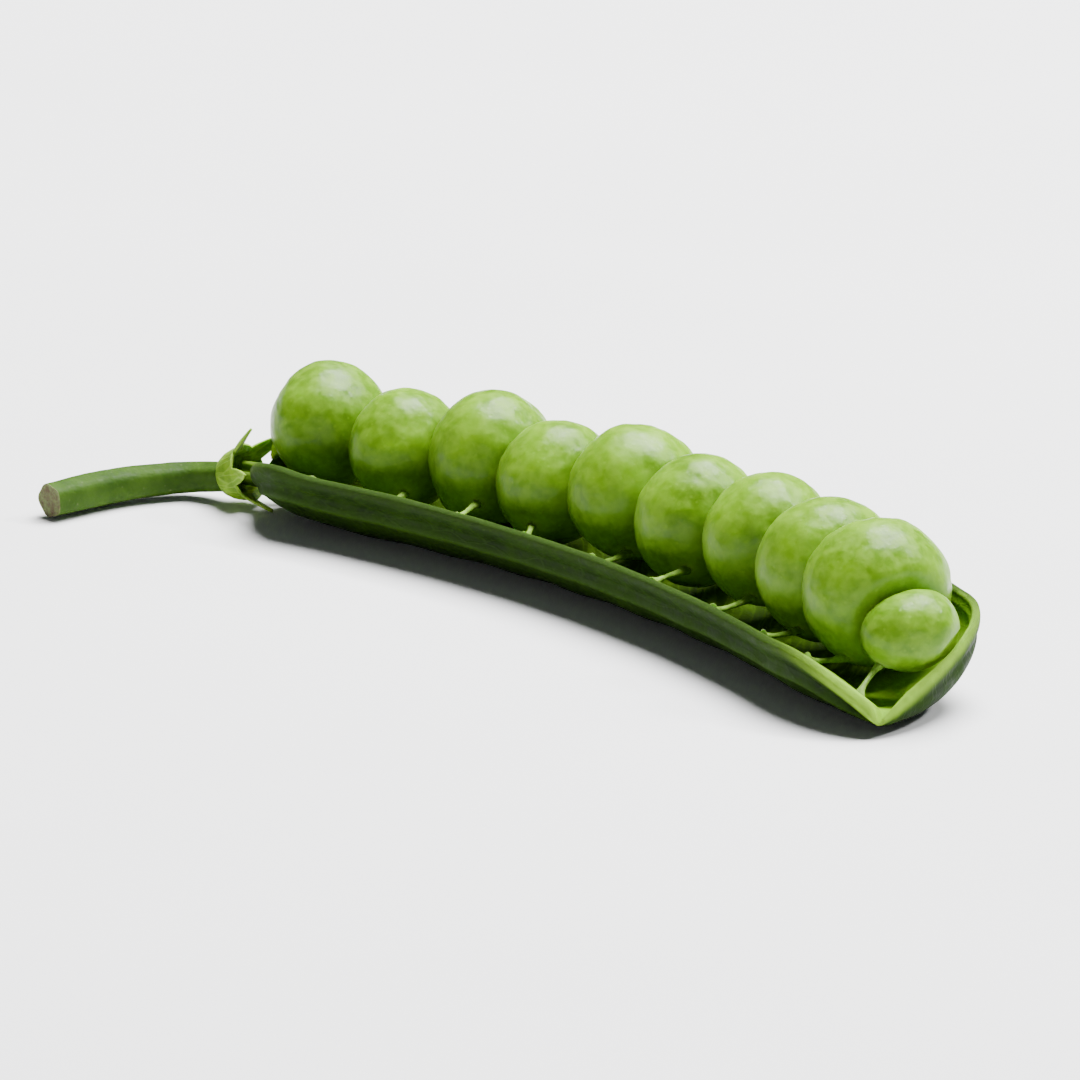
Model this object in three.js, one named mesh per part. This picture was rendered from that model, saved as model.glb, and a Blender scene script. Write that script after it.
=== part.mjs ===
// An opened garden pea pod as it lies on a table: one valve (half shell) of the pod, bent like a shallow boat and
// rolled a little towards the seam that bears the seeds, with its row of ten peas, their seed stalks, the calyx
// and the pod's own stalk. Units are millimetres and +Z is up. +X runs from the stalk to the beak, and the
// seed-bearing seam is on the -Y side. The origin is under the middle of the object, on the table.
import * as THREE from "three";
import { mergeVertices } from "three/addons/utils/BufferGeometryUtils.js";

// Driving dimensions of the valve.
const halfLength = 39.3; // half of the valve's length along X
const width = 16; // from seam to seam across the full section
const depth = 6.4; // outer depth of the full section below its rim plane
const wall = 1.1; // thickness of the fleshy wall
const bow = 6.8; // how far the middle of the pod bows out to +Y
const roll = THREE.MathUtils.degToRad(8); // lean of the rim plane towards the seed-bearing seam
const press = 0.2; // how far the soft underside is pressed flat by the table
const gap = 0.3; // space kept between neighbouring pieces

// Each end of the valve: where its point lies across the pod, how wide and deep it is there, how far its underside
// stands above the table, how long the bare end is, and over what length beyond it each edge, the depth and the
// underside reach their full values.
const neck = {
  middle: -2.0,
  half: 1.25,
  depth: 1.2,
  underside: 2.0,
  bare: 2.3,
  nearReach: 6,
  farReach: 5.5,
  depthReach: 6.5,
  liftReach: 10,
};
const beak = {
  middle: -3.2,
  half: 0.45,
  depth: 0.45,
  underside: 1.2,
  bare: 0,
  nearReach: 12,
  farReach: 7.5,
  depthReach: 8.5,
  liftReach: 8,
};

// The peas from the stalk to the beak: radius, distance along the pod to the next one, the place of the centre across
// the pod and above the rim plane, and where the seed stalk meets the pea, as shares of its radius ahead and up. The
// crowded seeds lie alternately near and far.
const peas = [
  { radius: 4.9, next: 8.0, across: 1.6, above: 0.1, scar: [-0.3, -0.5] },
  { radius: 4.7, next: 7.6, across: 0.4, above: 0.0, scar: [0.5, -0.45] },
  { radius: 5.2, next: 7.8, across: 1.6, above: 0.3, scar: [0.4, -0.35] },
  { radius: 4.8, next: 7.6, across: 0.5, above: 0.4, scar: [0.25, -0.4] },
  { radius: 5.3, next: 8.6, across: 1.7, above: 0.8, scar: [0.45, -0.65] },
  { radius: 5.1, next: 8.2, across: 0.9, above: 0.8, scar: [0.55, -0.45] },
  { radius: 5.1, next: 9.0, across: 1.5, above: 1.2, scar: [0.4, -0.65] },
  { radius: 5.5, next: 7.0, across: 1.2, above: 1.3, scar: [0.35, -0.6] },
  { radius: 5.7, next: 5.8, across: 1.5, above: 1.4, scar: [0.3, -0.65] },
  { radius: 3.4, next: 4.8, across: 1.4, above: 0.9, scar: [0.1, -0.5] },
];
const firstPea = 6.1; // distance from the neck to the first pea's centre
const peaFlatness = 0.9; // a pea's length along the crowded row over its width
const spread = 1.2; // how fast a pea may bulge out over the seams above them

const stalk = { radius: 1.4, length: 14, aside: 0.9 };
const calyxCup = { depth: 2.0, radius: 2.15, thickness: 0.42, floor: 0.95 };
const calyxLobes = { count: 5, out: 1.25, forward: 2.3, turn: 0 };
const seedStalk = { radius: 0.35, rootDepth: 0.8, hump: 0.8 };

const materials = {
  valve: new THREE.MeshStandardMaterial({ color: 0x4f7a1e, roughness: 0.55, metalness: 0 }),
  pea: new THREE.MeshStandardMaterial({ color: 0x9cc653, roughness: 0.45, metalness: 0 }),
  seedStalk: new THREE.MeshStandardMaterial({ color: 0xc8dc86, roughness: 0.6, metalness: 0 }),
  calyx: new THREE.MeshStandardMaterial({ color: 0x7fa83a, roughness: 0.65, metalness: 0 }),
  stalk: new THREE.MeshStandardMaterial({ color: 0x6f9a35, roughness: 0.6, metalness: 0 }),
};

const axisLength = 2 * halfLength * (1 + (8 / 3) * (bow / (2 * halfLength)) ** 2);

// The pod's axis in plan is a parabola: u runs from -1 at the neck to 1 at the beak.
function axisAt(u) {
  const heading = Math.atan2(-2 * bow * u, halfLength);
  return { x: halfLength * u, y: bow * (1 - u * u), heading };
}

const alongToU = (distance) => -1 + (2 * distance) / axisLength;

// Rises from 0 at the end of the pod to 1 at full section, with the round shoulder of a pod's end.
const rise = (t) => (t >= 1 ? 1 : (1 - (1 - Math.max(t, 0)) ** 2) ** 0.75);

// The cross-section at u: its middle across the pod, half-width, depth, and the height of its rim plane.
function sectionAt(u) {
  const end = u < 0 ? neck : beak;
  const run = Math.max((1 - Math.abs(u)) * (axisLength / 2) - end.bare, 0);
  const near = THREE.MathUtils.lerp(end.middle - end.half, -width / 2, rise(run / end.nearReach));
  const far = THREE.MathUtils.lerp(end.middle + end.half, width / 2, rise(run / end.farReach));
  const deep = THREE.MathUtils.lerp(end.depth, depth, rise(run / end.depthReach));
  const middle = (near + far) / 2;
  const half = (far - near) / 2;
  const underside = end.underside * Math.max(0, 1 - run / end.liftReach) ** 2;
  const lowest = Math.hypot(half * Math.sin(roll), deep * Math.cos(roll)) - middle * Math.sin(roll);
  return { middle, half, deep, height: underside + lowest - press };
}

// A place on the pod, given along its axis by u, across it towards the far seam, and above the rim plane.
function pointAt(u, across, above) {
  const { x, y, heading } = axisAt(u);
  const side = across * Math.cos(roll) - above * Math.sin(roll);
  const up = across * Math.sin(roll) + above * Math.cos(roll);
  const { height } = sectionAt(u);
  return new THREE.Vector3(x - side * Math.sin(heading), y + side * Math.cos(heading), height + up);
}

// The reverse of pointAt.
function locate(point) {
  let u = THREE.MathUtils.clamp(point.x / halfLength, -1, 1);
  for (let step = 0; step < 4; step++) {
    const { x, y, heading } = axisAt(u);
    const ahead = (point.x - x) * Math.cos(heading) + (point.y - y) * Math.sin(heading);
    u = THREE.MathUtils.clamp(u + (ahead * Math.cos(heading)) / halfLength, -1, 1);
  }
  const { x, y, heading } = axisAt(u);
  const side = -(point.x - x) * Math.sin(heading) + (point.y - y) * Math.cos(heading);
  const up = point.z - sectionAt(u).height;
  return {
    u,
    across: side * Math.cos(roll) + up * Math.sin(roll),
    above: -side * Math.sin(roll) + up * Math.cos(roll),
  };
}

// Half-width and depth of the hollow: the section less the wall, which thins where the pod narrows.
function hollowOf(section) {
  return {
    half: section.half - Math.min(wall, section.half / 2),
    deep: section.deep - Math.min(wall, section.deep / 2),
  };
}

// Moves every vertex of a geometry and leaves it with merged positions only.
function reshape(geometry, place) {
  geometry.deleteAttribute("normal");
  geometry.deleteAttribute("uv");
  const merged = mergeVertices(geometry, 1e-5);
  const position = merged.getAttribute("position");
  for (let i = 0; i < position.count; i++) {
    const moved = place(new THREE.Vector3().fromBufferAttribute(position, i));
    position.setXYZ(i, moved.x, moved.y, moved.z);
  }
  merged.computeVertexNormals();
  return merged;
}

// The valve: a box bent so that its length follows the pod, its width the arc from seam to seam, and its
// thickness the wall. The underside is pressed flat where it lies on the table.
function valveGeometry() {
  const stations = 44;
  const arcSteps = 14;
  return reshape(new THREE.BoxGeometry(1, 1, 1, stations, arcSteps, 1), (corner) => {
    const u = Math.sin(Math.PI * corner.x);
    const angle = Math.PI * (corner.y + 0.5);
    const section = sectionAt(u);
    const { half, deep } = corner.z > 0 ? hollowOf(section) : section;
    const point = pointAt(u, section.middle - half * Math.cos(angle), -deep * Math.sin(angle));
    point.z = Math.max(point.z, 0);
    return point;
  });
}

// The peas' centres, in order.
function peaCentres() {
  let along = firstPea;
  return peas.map((pea) => {
    const u = alongToU(along);
    along += pea.next;
    return { ...pea, u, along: along - pea.next, centre: pointAt(u, pea.across, pea.above) };
  });
}

// One pea: a ball, shorter along the row, flattened where it meets its neighbours and where it lies in the valve.
function peaGeometry(row, index) {
  const pea = row[index];
  const { heading } = axisAt(pea.u);
  const turn = new THREE.Matrix4().makeRotationZ(heading).multiply(new THREE.Matrix4().makeRotationX(roll));
  const neighbours = [row[index - 1], row[index + 1]].filter(Boolean).map((other) => {
    const towards = other.centre.clone().sub(pea.centre);
    const share = pea.radius / (pea.radius + other.radius);
    const limit = towards.length() * share - gap / 2;
    return { direction: towards.normalize(), limit };
  });
  return reshape(new THREE.SphereGeometry(pea.radius, 18, 12), (offset) => {
    offset.x *= peaFlatness;
    offset.applyMatrix4(turn);
    for (const { direction, limit } of neighbours) {
      const excess = offset.dot(direction) - limit;
      if (excess > 0) offset.addScaledVector(direction, -excess);
    }
    const place = locate(offset.clone().add(pea.centre));
    const section = sectionAt(place.u);
    const hollow = hollowOf(section);
    const room = hollow.half - gap + spread * Math.max(place.above - gap, 0);
    const sideways = (place.across - section.middle) / room;
    const down = Math.min(place.above, 0) / (hollow.deep - gap);
    const outside = Math.hypot(sideways, down);
    if (outside <= 1) return offset;
    const across = section.middle + (place.across - section.middle) / outside;
    const above = place.above < 0 ? place.above / outside : place.above;
    return pointAt(place.u, across, above).sub(pea.centre);
  });
}

// A round tube of the given radius along a curve.
function tubeGeometry(curve, radius, sides, steps) {
  const outline = Array.from({ length: sides }, (_, i) => {
    const angle = (2 * Math.PI * i) / sides;
    return new THREE.Vector2(radius * Math.cos(angle), radius * Math.sin(angle));
  });
  const shape = new THREE.Shape(outline);
  return new THREE.ExtrudeGeometry(shape, { extrudePath: curve, steps, bevelEnabled: false });
}

// A pea's seed stalk: from the inner side of the seed-bearing seam over to the pea's lower flank.
function seedStalkGeometry(pea) {
  const root = pea.along + 0.5 * pea.next;
  const hollow = hollowOf(sectionAt(alongToU(root)));
  const seam = sectionAt(alongToU(root)).middle - hollow.half + gap + seedStalk.radius;
  const [aheadShare, upShare] = pea.scar;
  const reach = pea.radius + seedStalk.radius + 0.1;
  const ahead = aheadShare * reach;
  const aside = -Math.sqrt(1 - aheadShare ** 2 - upShare ** 2) * reach;
  const up = pea.above + upShare * reach;
  const curve = new THREE.QuadraticBezierCurve3(
    pointAt(alongToU(root), seam, -seedStalk.rootDepth),
    pointAt(alongToU(root), seam + 0.5, up + seedStalk.hump),
    pointAt(alongToU(pea.along + ahead), pea.across + aside, up),
  );
  return tubeGeometry(curve, seedStalk.radius, 6, 4);
}

// The calyx: a small cup round the neck whose rim spreads into pointed lobes. Its own axis is +Y until placed.
function calyxGeometry() {
  const { depth: cup, radius, thickness, floor } = calyxCup;
  const profile = [
    [0, 0, 0],
    [1.2, 0, 0],
    [1.85, 0.8, 0],
    [radius, cup, 0],
    [radius, cup, 0.5],
    [radius, cup, 1],
    [radius - thickness, cup, 1],
    [radius - thickness, cup, 0.5],
    [radius - thickness, cup, 0],
    [1.55, floor, 0],
    [0, floor, 0],
  ];
  const segments = 30;
  const points = profile.map(([r, t]) => new THREE.Vector2(r, t));
  const lobeShare = profile.map(([, , share]) => share);
  const lathe = new THREE.LatheGeometry(points, segments);
  const position = lathe.getAttribute("position");
  for (let i = 0; i < position.count; i++) {
    const share = lobeShare[i % profile.length];
    const angle = Math.atan2(position.getX(i), position.getZ(i));
    const lobe = Math.max(0, Math.cos(calyxLobes.count * (angle + calyxLobes.turn)));
    const stretch = share * (0.12 + lobe);
    const across = Math.hypot(position.getX(i), position.getZ(i));
    const scale = across > 0 ? (across + calyxLobes.out * stretch) / across : 1;
    position.setXYZ(
      i,
      position.getX(i) * scale,
      position.getY(i) + calyxLobes.forward * stretch,
      position.getZ(i) * scale,
    );
  }
  return reshape(lathe, (point) => point);
}

function named(name, geometry, material, position = new THREE.Vector3()) {
  const mesh = new THREE.Mesh(geometry, material);
  mesh.name = name;
  mesh.position.copy(position);
  return mesh;
}

const pod = new THREE.Group();
pod.add(named("pod_valve", valveGeometry(), materials.valve));

const row = peaCentres();
row.forEach((pea, index) => {
  const number = String(index + 1).padStart(2, "0");
  pod.add(named(`pea_${number}`, peaGeometry(row, index), materials.pea, pea.centre));
  pod.add(named(`seed_stalk_${number}`, seedStalkGeometry(pea), materials.seedStalk));
});

// The calyx holds the neck from below, so its axis slopes down to the stalk.
const neckPoint = pointAt(-1, neck.middle, -neck.depth / 2);
const { heading: neckHeading } = axisAt(-1);
const calyxSlope = 0.35;
const forwards = new THREE.Vector3(Math.cos(neckHeading), Math.sin(neckHeading), calyxSlope).normalize();
const calyxBase = neckPoint.clone().addScaledVector(forwards, -(calyxCup.floor + gap));
const calyx = named("calyx", calyxGeometry(), materials.calyx, calyxBase);
calyx.quaternion.setFromUnitVectors(new THREE.Vector3(0, 1, 0), forwards);
pod.add(calyx);

// The stalk leaves the calyx, drops to the table and lies along it, swinging towards the seed-bearing side.
const stalkStart = calyxBase.clone().addScaledVector(forwards, -1.5 * gap);
const stalkPoint = (share, swing, height) => {
  const heading = neckHeading + Math.PI + stalk.aside * swing;
  const reach = stalk.length * share;
  return new THREE.Vector3(
    stalkStart.x + reach * Math.cos(heading),
    stalkStart.y + reach * Math.sin(heading),
    height,
  );
};
const stalkCurve = new THREE.CatmullRomCurve3([
  stalkStart,
  stalkPoint(0.2, 0.15, Math.max(stalkStart.z - 0.7, stalk.radius + 0.15)),
  stalkPoint(0.55, 0.75, stalk.radius + 0.1),
  stalkPoint(1, 1, stalk.radius + 0.1),
]);
pod.add(named("stalk", tubeGeometry(stalkCurve, stalk.radius, 8, 8), materials.stalk));

// Centre the object over its origin.
const box = new THREE.Box3().setFromObject(pod);
const centre = box.getCenter(new THREE.Vector3());
pod.position.set(-centre.x, -centre.y, 0);

const peaPod = new THREE.Group();
peaPod.add(pod);

export default peaPod;
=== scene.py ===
import math

import bmesh
import bpy
import numpy as np
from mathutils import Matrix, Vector


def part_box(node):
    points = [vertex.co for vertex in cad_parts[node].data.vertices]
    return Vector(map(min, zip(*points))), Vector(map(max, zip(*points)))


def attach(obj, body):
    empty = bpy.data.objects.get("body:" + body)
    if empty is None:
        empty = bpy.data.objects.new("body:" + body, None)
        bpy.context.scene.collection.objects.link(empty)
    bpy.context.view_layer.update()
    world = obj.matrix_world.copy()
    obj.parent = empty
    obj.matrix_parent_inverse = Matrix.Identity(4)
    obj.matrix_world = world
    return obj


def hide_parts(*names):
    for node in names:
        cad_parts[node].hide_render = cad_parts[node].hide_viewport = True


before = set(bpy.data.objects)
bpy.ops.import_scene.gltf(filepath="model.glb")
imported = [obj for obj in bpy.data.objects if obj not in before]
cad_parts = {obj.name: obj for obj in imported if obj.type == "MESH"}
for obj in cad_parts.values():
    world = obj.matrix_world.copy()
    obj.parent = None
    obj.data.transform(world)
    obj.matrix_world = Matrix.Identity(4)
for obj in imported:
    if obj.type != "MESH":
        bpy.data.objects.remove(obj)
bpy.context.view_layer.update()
scene = bpy.context.scene
mm = 0.001

# The pod's rule, in millimetres: the same one that the solid model follows.
pod = {
    "halfLength": 39.3,
    "width": 16.0,
    "depth": 6.4,
    "wall": 1.1,
    "bow": 6.8,  # how far the middle bows out to +Y
    "roll": math.radians(8),  # lean towards the seed-bearing seam
    "press": 0.2,  # how far the underside is pressed flat
    "neck": {
        "middle": -2.0,
        "half": 1.25,
        "depth": 1.2,
        "underside": 2.0,
        "bare": 2.3,
        "nearReach": 6.0,
        "farReach": 5.5,
        "depthReach": 6.5,
        "liftReach": 10.0,
    },
    "beak": {
        "middle": -3.2,
        "half": 0.45,
        "depth": 0.45,
        "underside": 1.2,
        "bare": 0.0,
        "nearReach": 12.0,
        "farReach": 7.5,
        "depthReach": 8.5,
        "liftReach": 8.0,
    },
}
podLength = 2 * pod["halfLength"] * (1 + (8 / 3) * (pod["bow"] / (2 * pod["halfLength"])) ** 2)


def rise(t):
    return (1 - (1 - np.clip(t, 0, 1)) ** 2) ** 0.75


def blend(a, b, t):
    return a + (b - a) * t


def podAxis(u):
    heading = np.arctan2(-2 * pod["bow"] * u, pod["halfLength"])
    return pod["halfLength"] * u, pod["bow"] * (1 - u * u), heading


def podSection(u):
    end = {key: np.where(u < 0, pod["neck"][key], pod["beak"][key]) for key in pod["neck"]}
    run = np.maximum((1 - abs(u)) * podLength / 2 - end["bare"], 0)
    near = blend(end["middle"] - end["half"], -pod["width"] / 2, rise(run / end["nearReach"]))
    far = blend(end["middle"] + end["half"], pod["width"] / 2, rise(run / end["farReach"]))
    deep = blend(end["depth"], pod["depth"], rise(run / end["depthReach"]))
    middle, half = (near + far) / 2, (far - near) / 2
    lift = end["underside"] * np.maximum(0, 1 - run / end["liftReach"]) ** 2
    lowest = np.hypot(half * math.sin(pod["roll"]), deep * math.cos(pod["roll"]))
    height = lift + lowest - middle * math.sin(pod["roll"]) - pod["press"]
    return {"run": run, "middle": middle, "half": half, "deep": deep, "height": height}


def podPoint(u, across, above):
    x, y, heading = podAxis(u)
    side = across * math.cos(pod["roll"]) - above * math.sin(pod["roll"])
    up = across * math.sin(pod["roll"]) + above * math.cos(pod["roll"])
    height = podSection(u)["height"] + up
    return np.stack([x - side * np.sin(heading), y + side * np.cos(heading), height], -1)


def podPlace(points):  # the reverse of podPoint
    u = np.clip(points[:, 0] / pod["halfLength"], -1, 1)
    for step in range(4):
        x, y, heading = podAxis(u)
        ahead = (points[:, 0] - x) * np.cos(heading) + (points[:, 1] - y) * np.sin(heading)
        u = np.clip(u + ahead * np.cos(heading) / pod["halfLength"], -1, 1)
    x, y, heading = podAxis(u)
    side = -(points[:, 0] - x) * np.sin(heading) + (points[:, 1] - y) * np.cos(heading)
    up = points[:, 2] - podSection(u)["height"]
    across = side * math.cos(pod["roll"]) + up * math.sin(pod["roll"])
    above = -side * math.sin(pod["roll"]) + up * math.cos(pod["roll"])
    return u, across, above


def alongToU(distance):
    return -1 + 2 * distance / podLength


# The rule's own origin lies under the pod's axis; the model's lies under the middle of its box.
plainU = np.sin(np.pi * np.linspace(-0.5, 0.5, 400))[:, None]
plainAngle = np.linspace(0, np.pi, 90)[None, :]
plain = podSection(plainU)
plainRim = podPoint(
    plainU + 0 * plainAngle,
    plain["middle"] - plain["half"] * np.cos(plainAngle),
    -plain["deep"] * np.sin(plainAngle),
).reshape(-1, 3)
valveLow, valveHigh = (np.array(corner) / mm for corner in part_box("pod_valve"))
podShift = ((valveLow + valveHigh) - (plainRim.min(0) + plainRim.max(0))) / 2
podShift[2] = 0

# The peas from the stalk to the beak, in millimetres: the next one's distance, and the centre across the pod and
# above its rim plane. Tone runs from dull to bright, and scar says where the seed thread meets the pea, as shares of
# its radius ahead and up.
peaSize = {
    "first": 6.1,
    "flatness": 0.9,
    "touch": 0.05,
    "spread": 1.2,  # how fast the room widens above the rims
    "softness": 0.22,
    "contactFade": 0.25,
    "scarSize": 0.8,
    "detail": 6,
    "skin": {"Lump Size": 4.2, "Lump Height": 0.36, "Wrinkle Size": 1.3, "Wrinkle Height": 0.07, "Floor": 0.0},
}
peaRow = [
    {"radius": 4.9, "next": 8.0, "across": 1.6, "above": 0.1, "tone": 0.45, "scar": (-0.3, -0.5)},
    {"radius": 4.7, "next": 7.6, "across": 0.4, "above": 0.0, "tone": 0.35, "scar": (0.5, -0.45)},
    {"radius": 5.2, "next": 7.8, "across": 1.6, "above": 0.3, "tone": 0.55, "scar": (0.4, -0.35)},
    {"radius": 4.8, "next": 7.6, "across": 0.5, "above": 0.4, "tone": 0.60, "scar": (0.25, -0.4)},
    {"radius": 5.3, "next": 8.6, "across": 1.7, "above": 0.8, "tone": 0.70, "scar": (0.45, -0.65)},
    {"radius": 5.1, "next": 8.2, "across": 0.9, "above": 0.8, "tone": 0.55, "scar": (0.55, -0.45)},
    {"radius": 5.1, "next": 9.0, "across": 1.5, "above": 1.2, "tone": 0.50, "scar": (0.4, -0.65)},
    {"radius": 5.5, "next": 7.0, "across": 1.2, "above": 1.3, "tone": 0.45, "scar": (0.35, -0.6)},
    {"radius": 5.7, "next": 5.8, "across": 1.5, "above": 1.4, "tone": 0.60, "scar": (0.3, -0.65)},
    {"radius": 3.4, "next": 4.8, "across": 1.4, "above": 0.9, "tone": 0.50, "scar": (0.1, -0.5)},
]
peaRow[-1].update({"squash": 0.86, "breadth": 1.14})  # the last pea is crowded into the beak
distance = peaSize["first"]
for pea in peaRow:
    pea["along"] = distance
    pea["u"] = alongToU(distance)
    pea["centre"] = podPoint(np.array([pea["u"]]), pea["across"], pea["above"])[0]
    distance += pea["next"]


def makePiece(name, points, faces, values=None, uv=None):
    mesh = bpy.data.meshes.new(name)
    mesh.from_pydata((np.asarray(points) * mm).tolist(), [], faces)
    for key, numbers in (values or {}).items():
        layer = mesh.attributes.new(key, "FLOAT", "POINT")
        layer.data.foreach_set("value", np.asarray(numbers, dtype=np.float32).ravel())
    if uv is not None:
        corners = np.empty(len(mesh.loops), dtype=np.int32)
        mesh.loops.foreach_get("vertex_index", corners)
        mesh.uv_layers.new(name="skin").data.foreach_set("uv", np.asarray(uv)[corners].astype(np.float32).ravel())
    mesh.validate()
    piece = bpy.data.objects.new(name, mesh)
    scene.collection.objects.link(piece)
    return piece


def loopFaces(rings, around):
    ring = np.arange(rings - 1)[:, None] * around
    step = np.arange(around)[None, :]
    following = (step + 1) % around
    quads = np.stack([ring + step, ring + following, ring + around + following, ring + around + step], -1)
    return quads.reshape(-1, 4).tolist()


print("frame ready")


def addNode(tree, kind, inputs=None, **settings):
    node = tree.nodes.new(kind)
    for name, value in settings.items():
        setattr(node, name, value)
    for key, value in (inputs or {}).items():
        if isinstance(value, bpy.types.NodeSocket):
            tree.links.new(value, node.inputs[key])
        else:
            node.inputs[key].default_value = value
    return node


def calc(tree, operation, *values):
    inputs = dict(enumerate(values))
    return addNode(tree, "ShaderNodeMath", inputs, operation=operation).outputs[0]


def mixColour(tree, factor, first, second):
    inputs = {0: factor, 6: first, 7: second}
    return addNode(tree, "ShaderNodeMix", inputs, data_type="RGBA", clamp_factor=True).outputs[2]


def tinge(tree, base, mask, share, colour):  # lays a colour over the base where the mask is, up to a share
    return mixColour(tree, calc(tree, "MULTIPLY", mask, share), base, colour)


def remap(tree, value, low, high, start=0.0, finish=1.0):
    inputs = {0: value, 1: low, 2: high, 3: start, 4: finish}
    return addNode(tree, "ShaderNodeMapRange", inputs, interpolation_type="SMOOTHSTEP").outputs[0]


def newTree(name, kind, inputs, outputs):
    tree = bpy.data.node_groups.new(name, kind)
    for label, socketType, value in inputs:
        socket = tree.interface.new_socket(label, in_out="INPUT", socket_type=socketType)
        if value is not None:
            socket.default_value = value
    for label, socketType in outputs:
        tree.interface.new_socket(label, in_out="OUTPUT", socket_type=socketType)
    return tree, tree.nodes.new("NodeGroupInput").outputs, tree.nodes.new("NodeGroupOutput").inputs


def growWith(piece, tree, settings):
    modifier = piece.modifiers.new(tree.name, "NODES")
    modifier.node_group = tree
    for item in tree.interface.items_tree:
        if item.in_out == "INPUT" and item.name in settings:
            modifier[item.identifier] = settings[item.name]
    grown = bpy.data.meshes.new_from_object(piece.evaluated_get(bpy.context.evaluated_depsgraph_get()))
    piece.modifiers.remove(modifier)
    piece.data = grown
    grown.name = piece.name
    return piece


def finishTree(tree, geometry, material, output):
    smooth = addNode(tree, "GeometryNodeSetShadeSmooth", {0: geometry}).outputs[0]
    realized = addNode(tree, "GeometryNodeRealizeInstances", {0: smooth}).outputs[0]
    painted = addNode(tree, "GeometryNodeSetMaterial", {0: realized, "Material": material}).outputs[0]
    tree.links.new(painted, output)


def noiseHeight(tree, size, height, seed):
    scale = calc(tree, "DIVIDE", 1.0, calc(tree, "MULTIPLY", size, mm))
    inputs = {"W": seed, "Scale": scale, "Detail": 2.0}
    noise = addNode(tree, "ShaderNodeTexNoise", inputs, noise_dimensions="4D").outputs[0]
    centred = calc(tree, "SUBTRACT", noise, 0.5)
    return calc(tree, "MULTIPLY", centred, calc(tree, "MULTIPLY", height, 2 * mm))


def pushOut(tree, geometry, height):
    normal = addNode(tree, "GeometryNodeInputNormal").outputs[0]
    inputs = {0: normal, "Scale": height}
    offset = addNode(tree, "ShaderNodeVectorMath", inputs, operation="SCALE").outputs[0]
    return addNode(tree, "GeometryNodeSetPosition", {0: geometry, "Offset": offset}).outputs[0]


def keepAbove(tree, geometry, floor):
    position = addNode(tree, "GeometryNodeInputPosition").outputs[0]
    apart = addNode(tree, "ShaderNodeSeparateXYZ", {0: position}).outputs
    height = calc(tree, "MAXIMUM", apart[2], calc(tree, "MULTIPLY", floor, mm))
    together = addNode(tree, "ShaderNodeCombineXYZ", {0: apart[0], 1: apart[1], 2: height}).outputs[0]
    return addNode(tree, "GeometryNodeSetPosition", {0: geometry, "Position": together}).outputs[0]


# Living skin: gentle lumps and finer unevenness along the surface's own normal.
skinTree, skinIn, skinOut = newTree(
    "livingSkin",
    "GeometryNodeTree",
    [
        ("Geometry", "NodeSocketGeometry", None),
        ("Lump Size", "NodeSocketFloat", 4.0),
        ("Lump Height", "NodeSocketFloat", 0.1),
        ("Wrinkle Size", "NodeSocketFloat", 1.0),
        ("Wrinkle Height", "NodeSocketFloat", 0.02),
        ("Floor", "NodeSocketFloat", 0.0),
        ("Seed", "NodeSocketInt", 1),
        ("Material", "NodeSocketMaterial", None),
    ],
    [("Geometry", "NodeSocketGeometry")],
)
lumps = noiseHeight(skinTree, skinIn["Lump Size"], skinIn["Lump Height"], skinIn["Seed"])
wrinkles = noiseHeight(skinTree, skinIn["Wrinkle Size"], skinIn["Wrinkle Height"], skinIn["Seed"])
raised = pushOut(skinTree, skinIn["Geometry"], calc(skinTree, "ADD", lumps, wrinkles))
settled = keepAbove(skinTree, raised, skinIn["Floor"])
finishTree(skinTree, settled, skinIn["Material"], skinOut[0])

# A stem or thread swept along a few guide points, which carry its girth.
stemTree, stemIn, stemOut = newTree(
    "sweptStem",
    "GeometryNodeTree",
    [
        ("Geometry", "NodeSocketGeometry", None),
        ("Sides", "NodeSocketInt", 24),
        ("Step", "NodeSocketFloat", 0.3),
        ("Ribs", "NodeSocketFloat", 5.0),
        ("Rib Depth", "NodeSocketFloat", 0.05),
        ("Lump Size", "NodeSocketFloat", 2.0),
        ("Lump Height", "NodeSocketFloat", 0.05),
        ("Floor", "NodeSocketFloat", 0.0),
        ("Seed", "NodeSocketInt", 1),
        ("Material", "NodeSocketMaterial", None),
    ],
    [("Geometry", "NodeSocketGeometry")],
)
guide = addNode(stemTree, "GeometryNodeMeshToCurve", {0: stemIn["Geometry"]}).outputs[0]
guide = addNode(stemTree, "GeometryNodeCurveSplineType", {0: guide}, spline_type="CATMULL_ROM").outputs[0]
stepLength = calc(stemTree, "MULTIPLY", stemIn["Step"], mm)
guide = addNode(stemTree, "GeometryNodeResampleCurve", {0: guide, "Length": stepLength}, mode="LENGTH").outputs[0]
ring = addNode(stemTree, "GeometryNodeCurvePrimitiveCircle", {"Resolution": stemIn["Sides"], "Radius": mm}).outputs[0]
ringPlace = addNode(stemTree, "GeometryNodeInputPosition").outputs[0]
ringParts = addNode(stemTree, "ShaderNodeSeparateXYZ", {0: ringPlace}).outputs
ringAngle = calc(stemTree, "ARCTAN2", ringParts[1], ringParts[0])
ribWave = calc(stemTree, "COSINE", calc(stemTree, "MULTIPLY", ringAngle, stemIn["Ribs"]))
ribScale = calc(stemTree, "MULTIPLY_ADD", ribWave, stemIn["Rib Depth"], 1.0)
ribbed = addNode(stemTree, "ShaderNodeVectorMath", {0: ringPlace, "Scale": ribScale}, operation="SCALE").outputs[0]
ring = addNode(stemTree, "GeometryNodeSetPosition", {0: ring, "Position": ribbed}).outputs[0]
girth = addNode(stemTree, "GeometryNodeInputNamedAttribute", {"Name": "girth"}, data_type="FLOAT").outputs[0]
sweepInputs = {0: guide, 1: ring, "Scale": girth, "Fill Caps": True}
swept = addNode(stemTree, "GeometryNodeCurveToMesh", sweepInputs).outputs[0]
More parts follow.
